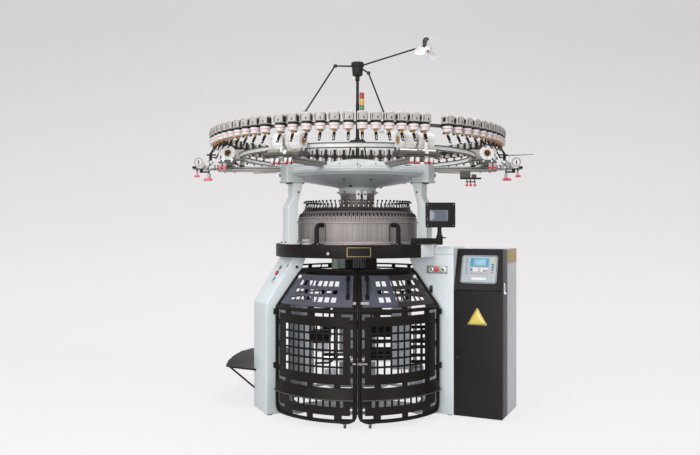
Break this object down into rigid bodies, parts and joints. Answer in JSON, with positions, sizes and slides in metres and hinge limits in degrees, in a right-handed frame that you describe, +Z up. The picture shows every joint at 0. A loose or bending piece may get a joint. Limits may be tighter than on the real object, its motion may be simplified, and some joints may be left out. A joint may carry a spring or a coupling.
{
  "type": "circular knitting machine",
  "caption": "Large circular knitting machine with a ring of yarn feeders over a round bed, gated fabric take-down below and an electrical cabinet beside it.",
  "frame": {"origin": "on the floor under the axis of the knitting cylinder", "axes": "+Z up along the cylinder axis, -Y towards the operator in front of the gates, +X towards the electrical cabinet"},
  "size_m": [2.8198, 2.5849, 3.2342],
  "materials": {
    "mint_paint": "satin",
    "white_paint": "satin",
    "black_paint": "satin",
    "dark_paint": "satin",
    "slate_paint": "satin",
    "steel": "brushed",
    "pink_steel": "brushed",
    "dark_steel": "machined",
    "chrome": "polished",
    "iron": "machined",
    "aluminium": "satin",
    "rubber": "matte",
    "feeder_plastic": "matte",
    "white_plastic": "gloss",
    "card": "matte",
    "red_plastic": "gloss",
    "yellow_plastic": "gloss",
    "green_plastic": "gloss",
    "pale_plastic": "gloss",
    "lamp_plastic": "gloss",
    "screen_paint": "satin"
  },
  "bodies": {
    "frame": {"base_frame": "iron", "levelling_feet": "iron", "left_leg": "mint_paint", "right_leg": "white_paint", "rear_leg": "mint_paint", "table_bed": "black_paint", "table_band": "black_paint", "cylinder_cover": "pink_steel", "cam_ring": "dark_steel", "dial_cover": "dark_steel", "pillars": "mint_paint", "crown": "mint_paint", "ring_arms": "dark_steel", "support_ring": "white_paint", "feeder_ring": "iron", "feeder_housings": "feeder_plastic", "feeder_wheels": "white_plastic", "elastane_frames": "aluminium", "elastane_bobbins": "card", "mast": "iron", "signal_tower": "lamp_plastic", "grab_handles": "black_paint", "button_plates": "white_paint", "cabinet_shell": "white_paint", "inverter": "aluminium", "rear_guards": "dark_paint", "side_step": "black_paint", "drive_motor": "iron"},
    "needle_cylinder": {"needle_cylinder": "steel"},
    "needle_dial": {"needle_dial": "steel"},
    "takedown": {"takedown_frame": "dark_steel"},
    "front_roller": {"front_roller": "chrome"},
    "rear_roller": {"rear_roller": "chrome"},
    "cloth_roller": {"cloth_roller": "aluminium"},
    "drive_shaft": {"drive_shaft": "steel"},
    "left_gate": {"left_gate_frame": "dark_paint", "left_gate_panel": "dark_paint"},
    "right_gate": {"right_gate_frame": "dark_paint", "right_gate_panel": "dark_paint"},
    "gate_latch": {"gate_latch": "aluminium"},
    "left_caster_fork": {"left_caster_fork": "steel"},
    "right_caster_fork": {"right_caster_fork": "steel"},
    "left_caster_wheel": {"left_caster_wheel": "rubber"},
    "right_caster_wheel": {"right_caster_wheel": "rubber"},
    "fan_hub": {"fan_hub": "iron"},
    "left_fan": {"left_fan": "white_plastic"},
    "right_fan": {"right_fan": "white_plastic"},
    "top_fan": {"top_fan": "white_plastic"},
    "cabinet_door": {"cabinet_door": "black_paint"},
    "cabinet_lock": {"cabinet_lock": "chrome"},
    "control_panel": {"control_panel": "slate_paint"},
    "panel_latch": {"panel_latch": "chrome"},
    "screen_arm": {"screen_arm": "black_paint"},
    "screen_housing": {"screen_housing": "screen_paint"},
    "left_button_upper": {"left_button_upper": "pale_plastic"},
    "left_button_stop": {"left_button_stop": "red_plastic"},
    "left_button_lower": {"left_button_lower": "green_plastic"},
    "right_button_yellow": {"right_button_yellow": "yellow_plastic"},
    "right_button_stop": {"right_button_stop": "red_plastic"},
    "right_button_green": {"right_button_green": "green_plastic"}
  },
  "joints": [
    {"name": "cylinder_turn", "type": "hinge", "parent": "frame", "child": "needle_cylinder", "pos_m": [0, 0, 1.4], "axis": [0, 0, 1], "continuous": true},
    {"name": "dial_turn", "type": "hinge", "parent": "frame", "child": "needle_dial", "pos_m": [0, 0, 1.66], "axis": [0, 0, 1], "continuous": true},
    {"name": "takedown_turn", "type": "hinge", "parent": "frame", "child": "takedown", "pos_m": [0, 0, 0.08], "axis": [0, 0, 1], "continuous": true},
    {"name": "drive_shaft_turn", "type": "hinge", "parent": "frame", "child": "drive_shaft", "pos_m": [0.69781, -0.15989, 0.6], "axis": [0, 0, 1], "continuous": true},
    {"name": "front_roller_turn", "type": "hinge", "parent": "takedown", "child": "front_roller", "pos_m": [0, -0.0345, 0.7], "axis": [1, 0, 0], "continuous": true},
    {"name": "rear_roller_turn", "type": "hinge", "parent": "takedown", "child": "rear_roller", "pos_m": [0, 0.0345, 0.7], "axis": [1, 0, 0], "continuous": true},
    {"name": "cloth_roller_turn", "type": "hinge", "parent": "takedown", "child": "cloth_roller", "pos_m": [0, 0, 0.42], "axis": [1, 0, 0], "continuous": true},
    {"name": "left_gate_swing", "type": "hinge", "parent": "frame", "child": "left_gate", "pos_m": [-0.6723, -0.36503, 0.6], "axis": [0, 0, -1], "range_deg": [0, 85]},
    {"name": "right_gate_swing", "type": "hinge", "parent": "frame", "child": "right_gate", "pos_m": [0.6723, -0.36503, 0.6], "axis": [0, 0, 1], "range_deg": [0, 85]},
    {"name": "gate_latch_turn", "type": "hinge", "parent": "right_gate", "child": "gate_latch", "pos_m": [0.021, -0.773, 0.502], "axis": [0, 1, 0], "range_deg": [0, 85]},
    {"name": "left_caster_swivel", "type": "hinge", "parent": "left_gate", "child": "left_caster_fork", "pos_m": [-0.097, -0.736, 0.034], "axis": [0, 0, 1], "continuous": true},
    {"name": "left_caster_spin", "type": "hinge", "parent": "left_caster_fork", "child": "left_caster_wheel", "pos_m": [-0.097, -0.73, 0.015], "axis": [1, 0, 0], "continuous": true},
    {"name": "right_caster_swivel", "type": "hinge", "parent": "right_gate", "child": "right_caster_fork", "pos_m": [0.097, -0.736, 0.034], "axis": [0, 0, 1], "continuous": true},
    {"name": "right_caster_spin", "type": "hinge", "parent": "right_caster_fork", "child": "right_caster_wheel", "pos_m": [0.097, -0.73, 0.015], "axis": [1, 0, 0], "continuous": true},
    {"name": "blower_turn", "type": "hinge", "parent": "frame", "child": "fan_hub", "pos_m": [0, 0, 2.92], "axis": [0, 0, 1], "continuous": true},
    {"name": "left_fan_spin", "type": "hinge", "parent": "fan_hub", "child": "left_fan", "pos_m": [-0.454, 0.06, 2.484], "axis": [0, 0, 1], "continuous": true},
    {"name": "right_fan_spin", "type": "hinge", "parent": "fan_hub", "child": "right_fan", "pos_m": [0.262, 0.04, 2.384], "axis": [0, 0, 1], "continuous": true},
    {"name": "top_fan_spin", "type": "hinge", "parent": "fan_hub", "child": "top_fan", "pos_m": [0.607, -0.03, 3.084], "axis": [0, 0.766, 0.6428], "continuous": true},
    {"name": "cabinet_door_swing", "type": "hinge", "parent": "frame", "child": "cabinet_door", "pos_m": [1.15101, -0.53673, 0.52], "axis": [0, 0, 1], "range_deg": [0, 110]},
    {"name": "cabinet_lock_turn", "type": "hinge", "parent": "cabinet_door", "child": "cabinet_lock", "pos_m": [0.81879, -0.38788, 0.523], "axis": [-0.4226, -0.9063, 0], "range_deg": [0, 90]},
    {"name": "control_panel_lift", "type": "hinge", "parent": "frame", "child": "control_panel", "pos_m": [1.01624, -0.35251, 1.37], "axis": [-0.9063, 0.4226, 0], "range_deg": [0, 70]},
    {"name": "panel_latch_turn", "type": "hinge", "parent": "frame", "child": "panel_latch", "pos_m": [1.17915, -0.5024, 1.018], "axis": [-0.9063, 0.4226, 0], "range_deg": [0, 90]},
    {"name": "screen_arm_swing", "type": "hinge", "parent": "frame", "child": "screen_arm", "pos_m": [0.455, -0.45, 1.44], "axis": [0, 0, 1], "range_deg": [-60, 0]},
    {"name": "screen_turn", "type": "hinge", "parent": "screen_arm", "child": "screen_housing", "pos_m": [0.665, -0.42, 1.5], "axis": [0, 0, 1], "range_deg": [-25, 35]},
    {"name": "left_button_upper_press", "type": "slide", "parent": "frame", "child": "left_button_upper", "axis": [0.7699, 0.359, -0.5276], "range_m": [0, 0.004], "stiffness_N_per_m": 900},
    {"name": "left_button_stop_press", "type": "slide", "parent": "frame", "child": "left_button_stop", "axis": [0.7699, 0.359, -0.5276], "range_m": [0, 0.004], "stiffness_N_per_m": 900},
    {"name": "left_button_lower_press", "type": "slide", "parent": "frame", "child": "left_button_lower", "axis": [0.7699, 0.359, -0.5276], "range_m": [0, 0.004], "stiffness_N_per_m": 900},
    {"name": "right_button_yellow_press", "type": "slide", "parent": "frame", "child": "right_button_yellow", "axis": [0.4226, 0.9063, 0], "range_m": [0, 0.004], "stiffness_N_per_m": 900},
    {"name": "right_button_stop_press", "type": "slide", "parent": "frame", "child": "right_button_stop", "axis": [0.4226, 0.9063, 0], "range_m": [0, 0.004], "stiffness_N_per_m": 900},
    {"name": "right_button_green_press", "type": "slide", "parent": "frame", "child": "right_button_green", "axis": [0.4226, 0.9063, 0], "range_m": [0, 0.004], "stiffness_N_per_m": 900}
  ],
  "couplings": [
    {"joint": "dial_turn", "follows": "cylinder_turn", "ratio": 1},
    {"joint": "takedown_turn", "follows": "cylinder_turn", "ratio": 1},
    {"joint": "drive_shaft_turn", "follows": "cylinder_turn", "ratio": -5.2174},
    {"joint": "rear_roller_turn", "follows": "front_roller_turn", "ratio": -1}
  ]
}
